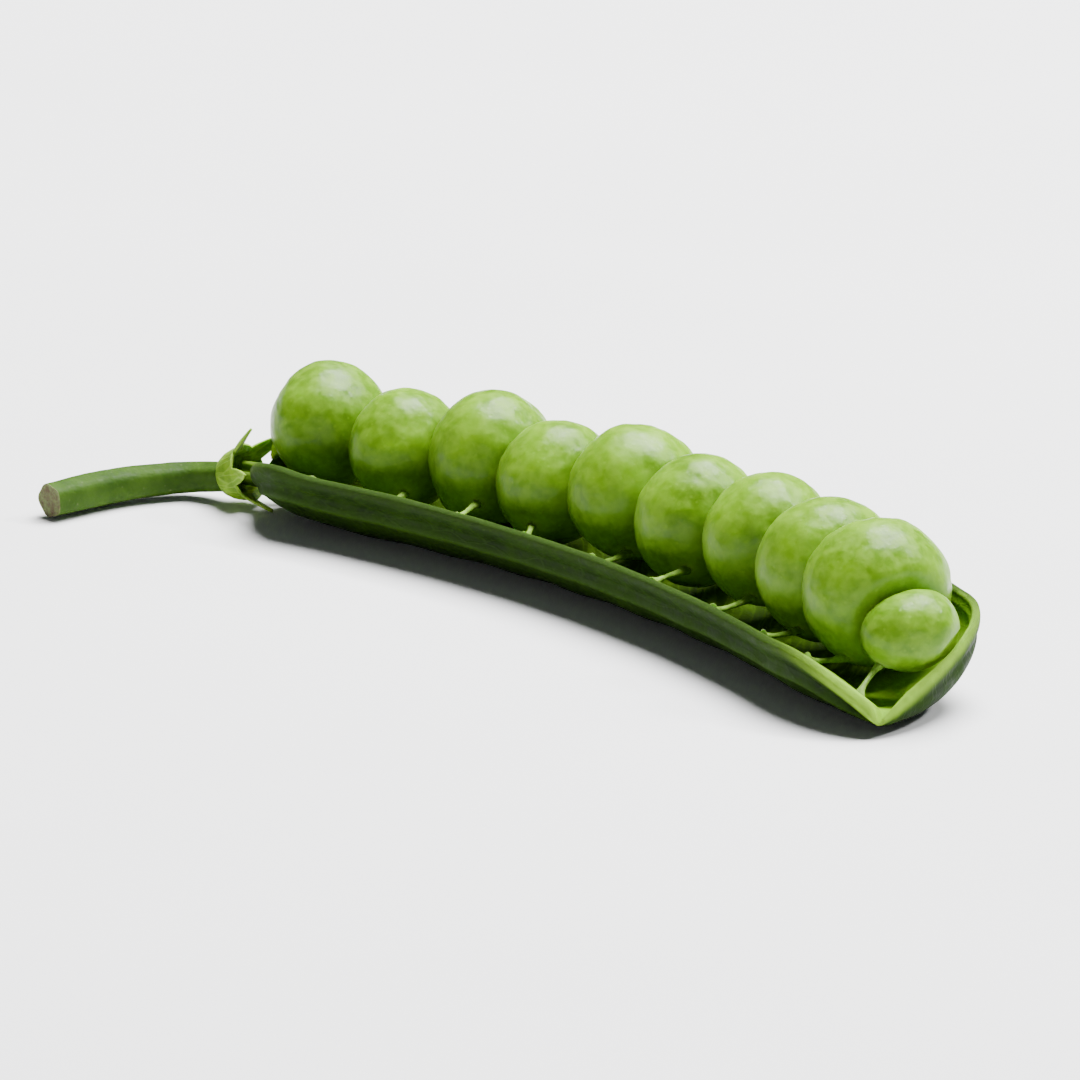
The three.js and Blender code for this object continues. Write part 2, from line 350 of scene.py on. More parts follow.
stemLumps = noiseHeight(stemTree, stemIn["Lump Size"], stemIn["Lump Height"], stemIn["Seed"])
swept = keepAbove(stemTree, pushOut(stemTree, swept, stemLumps), stemIn["Floor"])
finishTree(stemTree, swept, stemIn["Material"], stemOut[0])
print("geometry node trees ready")


def tint(red, green, blue):
    return [red, green, blue, 1.0]


def newMaterial(name, settings):
    material = bpy.data.materials.new(name)
    material.use_nodes = True
    tree = material.node_tree
    surface = tree.nodes["Principled BSDF"]
    for key, value in settings.items():
        surface.inputs[key].default_value = value
    return material, tree, surface


def pieceValue(tree, name):
    return addNode(tree, "ShaderNodeAttribute", attribute_name=name).outputs["Fac"]


def fillGroup(tree, group, inputs):
    node = tree.nodes.new("ShaderNodeGroup")
    node.node_tree = group
    for key, value in inputs.items():
        if isinstance(value, bpy.types.NodeSocket):
            tree.links.new(value, node.inputs[key])
        else:
            node.inputs[key].default_value = value
    return node.outputs


# Cloudy unevenness of tissue colour, in the piece's own coordinates.
mottleGroup, mottleIn, mottleOut = newTree(
    "tissueMottle",
    "ShaderNodeTree",
    [
        ("Size", "NodeSocketFloat", 3.0),
        ("Contrast", "NodeSocketFloat", 0.2),
        ("Shift", "NodeSocketFloat", 0.0),
    ],
    [("Mask", "NodeSocketFloat")],
)
objectPlace = addNode(mottleGroup, "ShaderNodeTexCoord").outputs["Object"]
mottleScale = calc(mottleGroup, "DIVIDE", 1 / mm, mottleIn["Size"])
mottleInputs = {"Vector": objectPlace, "W": mottleIn["Shift"], "Scale": mottleScale, "Detail": 4.0}
mottleInputs["Distortion"] = 0.4
cloud = addNode(mottleGroup, "ShaderNodeTexNoise", mottleInputs, noise_dimensions="4D").outputs[0]
cloudLow = calc(mottleGroup, "SUBTRACT", 0.5, mottleIn["Contrast"])
cloudHigh = calc(mottleGroup, "ADD", 0.5, mottleIn["Contrast"])
mottleGroup.links.new(remap(mottleGroup, cloud, cloudLow, cloudHigh), mottleOut[0])

# Fine cells and pores of a plant's skin: the height is low in the joints between cells, and the dots are the pores.
cellGroup, cellIn, cellOut = newTree(
    "skinCells",
    "ShaderNodeTree",
    [
        ("Cell Size", "NodeSocketFloat", 0.35),
        ("Pore Spacing", "NodeSocketFloat", 0.9),
        ("Pore Share", "NodeSocketFloat", 0.2),
    ],
    [("Height", "NodeSocketFloat"), ("Pores", "NodeSocketFloat")],
)
cellPlace = addNode(cellGroup, "ShaderNodeTexCoord").outputs["Object"]
cellInputs = {"Vector": cellPlace, "Scale": calc(cellGroup, "DIVIDE", 1 / mm, cellIn["Cell Size"])}
cells = addNode(cellGroup, "ShaderNodeTexVoronoi", cellInputs, feature="SMOOTH_F1").outputs["Distance"]
poreInputs = {"Vector": cellPlace, "Scale": calc(cellGroup, "DIVIDE", 1 / mm, cellIn["Pore Spacing"])}
pores = addNode(cellGroup, "ShaderNodeTexVoronoi", poreInputs).outputs["Distance"]
poreMask = remap(cellGroup, pores, cellIn["Pore Share"], 0.0)
cellTops = calc(cellGroup, "SUBTRACT", 1.0, cells)
cellHeight = calc(cellGroup, "SUBTRACT", cellTops, calc(cellGroup, "MULTIPLY", poreMask, 0.5))
cellGroup.links.new(cellHeight, cellOut["Height"])
cellGroup.links.new(poreMask, cellOut["Pores"])

# A net of veins or fibres that follows the piece's own unwrapped skin, laid out in centimetres.
veinGroup, veinIn, veinOut = newTree(
    "veinNet",
    "ShaderNodeTree",
    [
        ("Along", "NodeSocketFloat", 3.0),
        ("Across", "NodeSocketFloat", 9.0),
        ("Slant", "NodeSocketFloat", 0.0),
        ("Thickness", "NodeSocketFloat", 0.06),
    ],
    [("Mask", "NodeSocketFloat")],
)
skinPlace = addNode(veinGroup, "ShaderNodeUVMap", uv_map="skin").outputs[0]
wobble = addNode(veinGroup, "ShaderNodeTexNoise", {"Vector": skinPlace, "Scale": 2.5, "Detail": 2.0}).outputs["Color"]
bend = addNode(veinGroup, "ShaderNodeMix", {0: 0.12, 4: skinPlace, 5: wobble}, data_type="VECTOR").outputs[1]
bendParts = addNode(veinGroup, "ShaderNodeSeparateXYZ", {0: bend}).outputs
slanted = calc(veinGroup, "MULTIPLY_ADD", bendParts[1], veinIn["Slant"], bendParts[0])
veinAlong = calc(veinGroup, "MULTIPLY", slanted, veinIn["Along"])
veinAcross = calc(veinGroup, "MULTIPLY", bendParts[1], veinIn["Across"])
veinPlace = addNode(veinGroup, "ShaderNodeCombineXYZ", {0: veinAlong, 1: veinAcross}).outputs[0]
veinInputs = {"Vector": veinPlace, "Scale": 1.0}
veinEdge = addNode(veinGroup, "ShaderNodeTexVoronoi", veinInputs, feature="DISTANCE_TO_EDGE").outputs["Distance"]
veinGroup.links.new(remap(veinGroup, veinEdge, veinIn["Thickness"], 0.0), veinOut[0])
print("shader groups ready")


def finishSurface(tree, surface, look, colour, fine, height):
    tree.links.new(colour, surface.inputs["Base Color"])
    tree.links.new(remap(tree, fine, 0.0, 1.0, *look["roughness"]), surface.inputs["Roughness"])
    bumpInputs = {"Strength": look["bump"], "Distance": look["bumpDepth"] * mm, "Height": height}
    tree.links.new(addNode(tree, "ShaderNodeBump", bumpInputs).outputs[0], surface.inputs["Normal"])


valveLook = {
    "shade": tint(0.004, 0.012, 0.001),
    "green": tint(0.01, 0.027, 0.0015),
    "vein": tint(0.025, 0.06, 0.004),
    # deep and paintedShadePale: painted shade, darker greens laid on the inner wall where the peas shade it, away
    # from the beak
    "deep": tint(0.035, 0.08, 0.003),
    "paintedShadePale": tint(0.06, 0.13, 0.006),
    "inner": tint(0.19, 0.4, 0.008),
    "innerPale": tint(0.28, 0.53, 0.03),
    "lip": tint(0.24, 0.44, 0.035),
    "rim": tint(0.02, 0.045, 0.004),
    "strand": tint(0.026, 0.062, 0.005),
    "pore": tint(0.035, 0.08, 0.007),
    "roughness": (0.5, 0.7),
    "bump": 0.5,
    "bumpDepth": 0.05,
}
valveMaterial, tree, surface = newMaterial(
    "podWall",
    {
        "Subsurface Weight": 0.12,
        "Subsurface Radius": (0.55, 1.0, 0.1),
        "Subsurface Scale": 0.7 * mm,
        "Specular IOR Level": 0.05,
    },
)
insideWall = remap(tree, pieceValue(tree, "insideWall"), 0.35, 0.65)
cloudy = fillGroup(tree, mottleGroup, {"Size": 7.0, "Contrast": 0.22, "Shift": 1.0})[0]
fineCloud = fillGroup(tree, mottleGroup, {"Size": 1.3, "Contrast": 0.25, "Shift": 4.0})[0]
outerVeins = fillGroup(tree, veinGroup, {"Along": 3.2, "Across": 8.5, "Slant": 0.5, "Thickness": 0.07})[0]
innerFibres = fillGroup(tree, veinGroup, {"Along": 10.0, "Across": 2.6, "Slant": 1.1, "Thickness": 0.14})[0]
valveCells = fillGroup(tree, cellGroup, {"Cell Size": 0.3, "Pore Spacing": 0.75, "Pore Share": 0.22})
outer = mixColour(tree, cloudy, valveLook["shade"], valveLook["green"])
outer = tinge(tree, outer, fineCloud, 0.35, valveLook["vein"])
outer = tinge(tree, outer, outerVeins, 0.2, valveLook["vein"])
outer = tinge(tree, outer, valveCells["Pores"], 0.35, valveLook["pore"])
inner = mixColour(tree, cloudy, valveLook["inner"], valveLook["innerPale"])
# Painted shade: away from the beak the inner wall takes the darker deep greens, turning to its own lime towards the
# beak
deep = mixColour(tree, cloudy, valveLook["deep"], valveLook["paintedShadePale"])
inner = mixColour(tree, pieceValue(tree, "beakwardShadeLift"), deep, inner)
inner = tinge(tree, inner, innerFibres, 0.12, valveLook["innerPale"])
wallColour = mixColour(tree, insideWall, outer, inner)
wallColour = tinge(tree, wallColour, pieceValue(tree, "strand"), 0.7, valveLook["strand"])
lipMask = calc(tree, "MULTIPLY", pieceValue(tree, "lip"), remap(tree, fineCloud, 0.0, 1.0, 0.75, 1.0))
lipColour = mixColour(tree, pieceValue(tree, "tipness"), valveLook["rim"], valveLook["lip"])
wallColour = mixColour(tree, lipMask, wallColour, lipColour)
wallHeight = calc(tree, "ADD", valveCells["Height"], calc(tree, "MULTIPLY", outerVeins, 0.5))
finishSurface(tree, surface, valveLook, wallColour, fineCloud, wallHeight)

peaLook = {
    "dull": tint(0.034, 0.1, 0.001),
    "bright": tint(0.15, 0.32, 0.004),
    "pale": tint(0.16, 0.33, 0.012),
    "fleck": tint(0.25, 0.45, 0.03),
    "scar": tint(0.34, 0.5, 0.12),
    "roughness": (0.28, 0.44),
    "bump": 0.35,
    "bumpDepth": 0.05,
}
peaMaterial, tree, surface = newMaterial(
    "peaSkin",
    {
        "Subsurface Weight": 0.25,
        "Subsurface Radius": (0.6, 1.0, 0.15),
        "Subsurface Scale": 1.6 * mm,
        "Specular IOR Level": 0.17,
    },
)
peaCloud = fillGroup(tree, mottleGroup, {"Size": 5.0, "Contrast": 0.2, "Shift": 2.0})[0]
peaFine = fillGroup(tree, mottleGroup, {"Size": 0.9, "Contrast": 0.22, "Shift": 7.0})[0]
peaCells = fillGroup(tree, cellGroup, {"Cell Size": 0.4, "Pore Spacing": 0.8, "Pore Share": 0.25})
peaTone = calc(tree, "MULTIPLY", pieceValue(tree, "tone"), 0.6)
brightness = calc(tree, "ADD", calc(tree, "MULTIPLY", peaCloud, 0.5), peaTone)
skin = mixColour(tree, brightness, peaLook["dull"], peaLook["bright"])
skin = tinge(tree, skin, peaFine, 0.4, peaLook["fleck"])
skin = tinge(tree, skin, peaCells["Pores"], 0.25, peaLook["fleck"])
skin = tinge(tree, skin, pieceValue(tree, "contact"), 0.35, peaLook["pale"])
skin = mixColour(tree, pieceValue(tree, "scar"), skin, peaLook["scar"])
finishSurface(tree, surface, peaLook, skin, peaFine, peaCells["Height"])

threadLook = {
    "pale": tint(0.26, 0.44, 0.07),
    "green": tint(0.1, 0.2, 0.02),
    "roughness": (0.35, 0.5),
    "bump": 0.4,
    "bumpDepth": 0.03,
}
threadMaterial, tree, surface = newMaterial(
    "seedThread",
    {
        "Subsurface Weight": 0.3,
        "Subsurface Radius": (0.6, 1.0, 0.3),
        "Subsurface Scale": 0.5 * mm,
        "Specular IOR Level": 0.2,
    },
)
threadCloud = fillGroup(tree, mottleGroup, {"Size": 0.8, "Contrast": 0.25, "Shift": 3.0})[0]
threadCells = fillGroup(tree, cellGroup, {"Cell Size": 0.12, "Pore Spacing": 0.5, "Pore Share": 0.1})
threadColour = mixColour(tree, threadCloud, threadLook["green"], threadLook["pale"])
finishSurface(tree, surface, threadLook, threadColour, threadCloud, threadCells["Height"])

leafLook = {
    "dark": tint(0.045, 0.11, 0.005),
    "lime": tint(0.2, 0.37, 0.01),
    "edge": tint(0.26, 0.42, 0.05),
    "roughness": (0.5, 0.65),
    "bump": 0.5,
    "bumpDepth": 0.05,
}
leafMaterial, tree, surface = newMaterial(
    "calyxLeaf",
    {
        "Subsurface Weight": 0.25,
        "Subsurface Radius": (0.5, 1.0, 0.15),
        "Subsurface Scale": 0.6 * mm,
        "Specular IOR Level": 0.12,
    },
)
leafCloud = fillGroup(tree, mottleGroup, {"Size": 1.6, "Contrast": 0.25, "Shift": 5.0})[0]
leafCells = fillGroup(tree, cellGroup, {"Cell Size": 0.2, "Pore Spacing": 0.5, "Pore Share": 0.2})
leafVeins = fillGroup(tree, veinGroup, {"Along": 14.0, "Across": 5.0, "Slant": 0.0, "Thickness": 0.12})[0]
leaf = mixColour(tree, leafCloud, leafLook["dark"], leafLook["lime"])
leaf = tinge(tree, leaf, leafVeins, 0.5, leafLook["edge"])
leaf = tinge(tree, leaf, pieceValue(tree, "leafEdge"), 0.7, leafLook["edge"])
leafHeight = calc(tree, "ADD", leafCells["Height"], leafVeins)
finishSurface(tree, surface, leafLook, leaf, leafCloud, leafHeight)

stalkLook = {
    "green": tint(0.016, 0.045, 0.0025),
    "lime": tint(0.042, 0.092, 0.008),
    "pith": tint(0.13, 0.16, 0.06),
    "brown": tint(0.07, 0.05, 0.022),
    "roughness": (0.5, 0.68),
    "bump": 0.5,
    "bumpDepth": 0.06,
}
stalkMaterial, tree, surface = newMaterial(
    "stalkSkin",
    {
        "Subsurface Weight": 0.12,
        "Subsurface Radius": (0.5, 1.0, 0.15),
        "Subsurface Scale": 0.8 * mm,
        "Specular IOR Level": 0.08,
    },
)
stalkCloud = fillGroup(tree, mottleGroup, {"Size": 2.2, "Contrast": 0.25, "Shift": 6.0})[0]
stalkFine = fillGroup(tree, mottleGroup, {"Size": 0.5, "Contrast": 0.2, "Shift": 8.0})[0]
stalkCells = fillGroup(tree, cellGroup, {"Cell Size": 0.22, "Pore Spacing": 0.9, "Pore Share": 0.16})
stem = mixColour(tree, stalkCloud, stalkLook["green"], stalkLook["lime"])
stem = tinge(tree, stem, stalkFine, 0.25, stalkLook["lime"])
stem = tinge(tree, stem, stalkCells["Pores"], 0.4, stalkLook["pith"])
cutMask = remap(tree, pieceValue(tree, "cut"), 0.97, 1.0)
cutColour = mixColour(tree, stalkFine, stalkLook["brown"], stalkLook["pith"])
stem = mixColour(tree, cutMask, stem, cutColour)
finishSurface(tree, surface, stalkLook, stem, stalkFine, stalkCells["Height"])
print("materials ready")

valve = {
    "stations": 300,
    "around": 240,
    "evenness": 0.25,  # share of evenly spaced stations, the rest crowd towards the ends
    "rimShare": 0.05,
    "rimRound": 0.35,
    "lipWidth": 0.3,
    "beakLipWidth": 0.7,
    "bulge": 0.3,
    "socket": 0.15,
    "flange": 0.22,
    "groove": 0.28,
    "ribHeight": 0.22,
    "ribAt": 2.8,
    "ribWidth": 0.4,
    "strandHeight": 0.5,
    "strandAt": 1.1,
    "strandWidth": 0.5,
    "thinRim": 0.4,  # share of the wall lost beside the rims
    "seatShare": 0.62,  # reach of a pea's seat, as a share of the pea's radius
    "usualPea": 5.2,
    "thinNear": 1.2,
    "thinFar": 2.2,
    "beakLip": 0.16,
    "paleBeak": 0.14,
    "paleNeck": 0.08,
    # where along the pod (u from -1 at the stalk to 1 at the beak) the painted shade on the inner wall gives way to
    # the wall's own lime, and over how long
    "shadeLiftFrom": 0.72,
    "shadeLiftOver": 0.16,
    "skin": {"Lump Size": 7.0, "Lump Height": 0.12, "Wrinkle Size": 1.6, "Wrinkle Height": 0.03, "Seed": 3},
}


def hump(x, centre, width):
    return np.exp(-(((x - centre) / width) ** 2))


def shapeValve():
    spread = np.linspace(-1, 1, valve["stations"] + 1)[:, None]
    u = valve["evenness"] * spread + (1 - valve["evenness"]) * np.sin(np.pi / 2 * spread)
    t = (np.arange(valve["around"]) / valve["around"])[None, :]
    across = 1 - abs(1 - 2 * t)  # from the near rim's crest to the far rim's crest and back
    side = np.where(t < 0.5, -1, 1)
    edge = np.minimum(np.minimum(across, 1 - across) / valve["rimShare"], 1)
    angle = np.pi * np.clip((across - valve["rimShare"]) / (1 - 2 * valve["rimShare"]), 0, 1)
    layer = 0.5 + 0.5 * side * np.sin(np.pi / 2 * edge)
    crest = np.cos(np.pi / 2 * edge)
    section = podSection(u)
    run, half, deep = section["run"], section["half"], section["deep"]
    fade = rise(run / 5)
    arc = (half + deep) / 2
    fromNear, fromFar = arc * angle, arc * (np.pi - angle)
    along = (u + 1) * podLength / 2
    seats = [(pea["along"], pea["radius"]) for pea in peaRow]
    swell = sum(hump(along, at, valve["seatShare"] * radius) * radius / valve["usualPea"] for at, radius in seats)
    outwards = valve["bulge"] * swell * np.sin(angle) ** 1.5 * fade
    outwards = outwards + fade * valve["flange"] * (hump(fromNear, 0.3, 0.6) + 0.5 * hump(fromFar, 0.3, 0.6))
    outwards = outwards - fade * valve["groove"] * (hump(fromNear, 1.8, 0.6) + 0.6 * hump(fromFar, 1.6, 0.5))
    rib = hump(fromNear, valve["ribAt"], valve["ribWidth"]) * fade
    outwards = outwards + valve["ribHeight"] * rib
    strand = hump(fromNear, valve["strandAt"], valve["strandWidth"]) * fade
    farStrand = hump(fromFar, 0.8, 0.4) * fade
    inwards = valve["strandHeight"] * strand + 0.4 * valve["strandHeight"] * farStrand
    inwards = inwards - valve["socket"] * swell * np.sin(angle) ** 1.5 * fade
    outerShare = np.clip(1 - layer * 2, 0, 1)
    innerShare = np.clip(layer * 2 - 1, 0, 1)
    push = outwards * outerShare - inwards * innerShare
    taper = 1 - valve["thinRim"] * (hump(fromNear, 0, valve["thinNear"]) + hump(fromFar, 0, valve["thinFar"])) * fade
    wideWall = np.minimum(pod["wall"], half / 2) * taper
    deepWall = np.minimum(pod["wall"], deep / 2) * taper
    wide = half - wideWall * layer + push
    down = deep - deepWall * layer + push
    x = section["middle"] - wide * np.cos(angle)
    z = -down * np.sin(angle) + valve["rimRound"] * crest * np.minimum(wideWall / pod["wall"], 1)
    points = podPoint(u + 0 * x, x, z) + podShift
    points[..., 2] = np.maximum(points[..., 2], 0)
    lipWidth = blend(valve["lipWidth"], valve["beakLipWidth"], hump(u, 1.0, valve["beakLip"]))
    lip = np.exp(-((np.minimum(fromNear, fromFar) / lipWidth) ** 2))
    values = {
        "insideWall": layer + 0 * x,
        "lip": lip + 0 * x,
        "strand": np.maximum(strand, 0.6 * farStrand) * innerShare + rib * outerShare + 0 * x,
        "tipness": hump(u, 1.0, valve["paleBeak"]) + 0.6 * hump(u, -1.0, valve["paleNeck"]) + 0 * x,
        # beakwardShadeLift: 0 where the inner wall is painted darker as shade, 1 towards the beak
        "beakwardShadeLift": rise((u - valve["shadeLiftFrom"]) / valve["shadeLiftOver"]) + 0 * x,
    }
    uv = np.stack([along / 10 + 0 * x, (fromNear + 40 * layer) / 10 + 0 * x], -1)
    rings, around = x.shape
    faces = loopFaces(rings, around)
    faces.append(list(range(around))[::-1])
    faces.append([(rings - 1) * around + i for i in range(around)])
    piece = makePiece(
        "valveShell",
        points.reshape(-1, 3),
        faces,
        {key: value.reshape(-1) for key, value in values.items()},
        uv.reshape(-1, 2),
    )
    return growWith(piece, skinTree, {**valve["skin"], "Floor": 0.0, "Material": valveMaterial})


def outwardVolume(piece):
    body = bmesh.new()
    body.from_mesh(piece.data)
    volume = body.calc_volume(signed=True)
    body.free()
    return volume


valveShell = shapeValve()
print("valve shaped", round(outwardVolume(valveShell) / mm**3), "mm3")

ball = bmesh.new()
bmesh.ops.create_icosphere(ball, subdivisions=peaSize["detail"], radius=1)
ballPoints = np.array([vertex.co[:] for vertex in ball.verts])
ballFaces = [[vertex.index for vertex in face.verts] for face in ball.faces]
ball.free()


def softly(excess):  # how far a soft skin gives way before a wall
    return peaSize["softness"] * np.logaddexp(0, excess / peaSize["softness"])


def shapePea(index):
    pea = peaRow[index]
    heading = podAxis(pea["u"])[2]
    lean, turn = pod["roll"], heading
    offset = ballPoints * pea["radius"]
    offset[:, 0] *= peaSize["flatness"]
    offset[:, 1] *= pea.get("breadth", 1)
    offset[:, 2] *= pea.get("squash", 1)
    tilt = np.array([[1, 0, 0], [0, math.cos(lean), -math.sin(lean)], [0, math.sin(lean), math.cos(lean)]])
    swing = np.array([[math.cos(turn), -math.sin(turn), 0], [math.sin(turn), math.cos(turn), 0], [0, 0, 1]])
    offset = offset @ (swing @ tilt).T
    contact = np.zeros(len(offset))
    for other in [peaRow[i] for i in (index - 1, index + 1) if 0 <= i < len(peaRow)]:
        towards = other["centre"] - pea["centre"]
        apart = np.linalg.norm(towards)
        limit = apart * pea["radius"] / (pea["radius"] + other["radius"]) - peaSize["touch"]
        excess = softly(offset @ (towards / apart) - limit)
        offset -= excess[:, None] * (towards / apart)[None, :]
        contact = np.maximum(contact, np.clip(excess / peaSize["contactFade"], 0, 1))
    u, across, above = podPlace(offset + pea["centre"])
    section = podSection(u)
    room = section["half"] - np.minimum(pod["wall"], section["half"] / 2) - peaSize["touch"]
    room = room + peaSize["spread"] * np.maximum(above - 0.3, 0)
    roomDown = section["deep"] - np.minimum(pod["wall"], section["deep"] / 2) - peaSize["touch"]
    outside = np.hypot((across - section["middle"]) / room, np.minimum(above, 0) / roomDown)
    give = np.minimum(1, 1 / np.maximum(outside, 1e-6))
    across = section["middle"] + (across - section["middle"]) * give
    above = np.where(above < 0, above * give, above)
    points = podPoint(u, across, above)
    tip = pea["tip"] - pea["centre"]
    nearScar = np.linalg.norm(points - pea["centre"] - tip, axis=1)
    values = {
        "tone": np.full(len(points), pea["tone"]),
        "contact": contact,
        "scar": np.exp(-((nearScar / peaSize["scarSize"]) ** 2)),
    }
    name = f"peaSeed{index + 1:02d}"
    piece = makePiece(name, points + podShift, ballFaces, values)
    return growWith(piece, skinTree, {**peaSize["skin"], "Seed": 10 + index, "Material": peaMaterial})


# Each seed thread springs from the strand inside the near seam and reaches the pea's lower flank.
thread = {
    "radius": 0.3,
    "rootDepth": 0.8,
    "hump": 0.8,
    "girths": (1.6, 0.95, 0.7, 0.66, 0.8, 1.3),  # share of the radius from root to tip
    "sweep": {"Sides": 14, "Step": 0.1, "Ribs": 3.0, "Rib Depth": 0.06, "Lump Size": 0.6, "Lump Height": 0.06},
}


def threadPoints(pea):
    rootU = alongToU(pea["along"] + 0.5 * pea["next"])
    section = podSection(rootU)
    seam = section["middle"] - section["half"] + min(pod["wall"], section["half"] / 2) + thread["radius"]
    aheadShare, upShare = pea["scar"]
    asideShare = -math.sqrt(1 - aheadShare**2 - upShare**2)
    reach = pea["radius"] / math.hypot(aheadShare / peaSize["flatness"], asideShare, upShare / pea.get("squash", 1))
    tipU = alongToU(pea["along"] + aheadShare * reach)
    up = pea["above"] + upShare * reach
    ends = (
        podPoint(np.array([rootU]), seam, -thread["rootDepth"])[0],
        podPoint(np.array([rootU]), seam + 0.5, up + thread["hump"])[0],
        podPoint(np.array([tipU]), pea["across"] + asideShare * reach, up)[0],
    )
    shares = np.linspace(0, 1, len(thread["girths"]))[:, None]
    return (1 - shares) ** 2 * ends[0] + 2 * shares * (1 - shares) * ends[1] + shares**2 * ends[2]


for pea in peaRow:
    pea["path"] = threadPoints(pea)
    pea["tip"] = pea["path"][-1]

peas = [shapePea(index) for index in range(len(peaRow))]
print("peas shaped", len(peas))


def guideLine(name, lines, girths, cuts=None):
    points, edges, widths, ends = [], [], [], []
    for line in lines:
        first = len(points)
        points += list(line)
        edges += [(first + i, first + i + 1) for i in range(len(line) - 1)]
        widths += list(girths)
        ends += list(cuts or [0] * len(line))
    mesh = bpy.data.meshes.new(name)
    mesh.from_pydata((np.array(points) * mm).tolist(), edges, [])
    mesh.attributes.new("girth", "FLOAT", "POINT").data.foreach_set("value", widths)
    mesh.attributes.new("cut", "FLOAT", "POINT").data.foreach_set("value", ends)
    piece = bpy.data.objects.new(name, mesh)
    scene.collection.objects.link(piece)
    return piece


threadGirths = [share * thread["radius"] for share in thread["girths"]]
threads = guideLine("seedThreads", [pea["path"] + podShift for pea in peaRow], threadGirths)
threadSettings = {**thread["sweep"], "Floor": 0.0, "Seed": 21, "Material": threadMaterial}
threads = growWith(threads, stemTree, threadSettings)
print("seed threads shaped")

calyx = {
    "radius": 2.15,
    "depth": 2.0,
    "thickness": 0.4,
    "floor": 0.95,
    "lobes": 5,
    "out": 1.25,
    "forward": 2.3,
    "curl": 0.25,
    "slope": 0.35,
    "around": 200,
    "rows": 18,
    "midrib": 0.07,
    "outerCup": ((0.02, 0), (0.65, 0), (1.2, 0.03), (1.55, 0.3), (1.85, 0.8), (2.05, 1.45)),  # radius and height
    "innerCup": ((1.65, 1.45), (1.55, 1.0), (0.9, 0.95), (0.02, 0.95)),
    "skin": {"Lump Size": 2.0, "Lump Height": 0.08, "Wrinkle Size": 0.6, "Wrinkle Height": 0.02, "Seed": 31},
}
neckPoint = podPoint(np.array([-1.0]), pod["neck"]["middle"], -pod["neck"]["depth"] / 2)[0]
neckHeading = float(podAxis(-1.0)[2])
forwards = Vector((math.cos(neckHeading), math.sin(neckHeading), calyx["slope"])).normalized()
calyxBase = Vector(neckPoint) - forwards * (calyx["floor"] + 0.3)


def shapeCalyx():
    angle = (np.arange(calyx["around"]) / calyx["around"] * 2 * np.pi)[None, :]
    wave = np.maximum(0, np.cos(calyx["lobes"] * angle))
    pointed = np.maximum(1 - np.arccos(np.clip(np.cos(calyx["lobes"] * angle), -1, 1)) / (np.pi / 2), 0)
    lobe = 0.55 * pointed**1.1 + 0.45 * wave
    midrib = np.exp(-(((1 - pointed) / 0.12) ** 2)) * (wave > 0)
    rim, mouth = calyx["radius"], calyx["depth"]
    rows = [(radius, height, 0, 0) for radius, height in calyx["outerCup"]]
    for share in np.linspace(0, 1, calyx["rows"]):
        rows.append((rim, mouth, share, calyx["midrib"] * midrib * math.sin(math.pi * share)))
    for share in np.linspace(1, 0, calyx["rows"]):
        thin = calyx["thickness"] * (1 - 0.55 * share)
        rows.append((rim - thin, mouth + 0.08, share, 0))
    rows += [(radius, height, 0, 0) for radius, height in calyx["innerCup"]]
    radii, heights, edges = [], [], []
    for radius, height, share, ridge in rows:
        reach = share * (0.12 + lobe)
        radii.append(radius + calyx["out"] * reach + ridge)
        heights.append(height + calyx["forward"] * reach - calyx["curl"] * share * lobe)
        edges.append(np.full_like(angle, share) ** 5)
    radius, height, edge = np.concatenate(radii), np.concatenate(heights), np.concatenate(edges)
    local = np.stack([radius * np.sin(angle), height, radius * np.cos(angle)], -1).reshape(-1, 3)
    turn = np.array(Vector((0, 1, 0)).rotation_difference(forwards).to_matrix())
    points = local @ turn.T + np.array(calyxBase) + podShift
    rings, around = radius.shape
    faces = loopFaces(rings, around)
    faces.append(list(range(around))[::-1])
    faces.append([(rings - 1) * around + i for i in range(around)])
    uv = np.stack([0.3 * angle + 0 * radius, height / 10], -1).reshape(-1, 2)
    piece = makePiece("calyxCup", points, faces, {"leafEdge": edge.reshape(-1)}, uv)
    return growWith(piece, skinTree, {**calyx["skin"], "Floor": 0.05, "Material": leafMaterial})


calyxCup = shapeCalyx()
print("calyx shaped", round(outwardVolume(calyxCup) / mm**3), "mm3")

stalk = {
    "radius": 1.4,
    "length": 14.0,
    "aside": 0.9,
    "gap": 0.45,
    "drop": 0.7,
    "turns": ((0.2, 0.15), (0.5, 0.65), (0.76, 0.87), (1.0, 1.0)),  # share of the length, and of the swing aside
    "girths": (1.15, 1.2, 1.3, 1.38, 1.3),
    "sweep": {"Sides": 40, "Step": 0.25, "Ribs": 5.0, "Rib Depth": 0.05, "Lump Size": 3.0, "Lump Height": 0.12},
}
stalkStart = np.array(calyxBase - forwards * stalk["gap"])


def stalkPoint(share, swing, height):
    heading = neckHeading + math.pi + stalk["aside"] * swing
    reach = stalk["length"] * share
    return stalkStart * (1, 1, 0) + np.array([reach * math.cos(heading), reach * math.sin(heading), height])


stalkRest = stalk["radius"] + 0.1
stalkHeights = [max(stalkStart[2] - stalk["drop"], stalk["radius"] + 0.15), stalkRest, stalkRest, stalkRest]
stalkLine = [np.array(calyxBase + forwards * 0.1)]
stalkLine += [stalkPoint(share, swing, height) for (share, swing), height in zip(stalk["turns"], stalkHeights)]
stalkStem = guideLine("stalkStem", [np.array(stalkLine) + podShift], stalk["girths"], [0, 0, 0, 0, 1])
stalkSettings = {**stalk["sweep"], "Floor": 0.05, "Seed": 41, "Material": stalkMaterial}
stalkStem = growWith(stalkStem, stemTree, stalkSettings)
print("stalk shaped")

pieces = [(valveShell, ["pod_valve"], "pod_valve"), (calyxCup, ["calyx"], "calyx"), (stalkStem, ["stalk"], "stalk")]
pieces += [(piece, [f"pea_{index + 1:02d}"], "pea") for index, piece in enumerate(peas)]
pieces += [(threads, [f"seed_stalk_{index + 1:02d}" for index in range(len(peaRow))], "seed_stalk")]
for piece, nodes, slot in pieces:
    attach(piece, "root")
    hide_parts(*nodes)

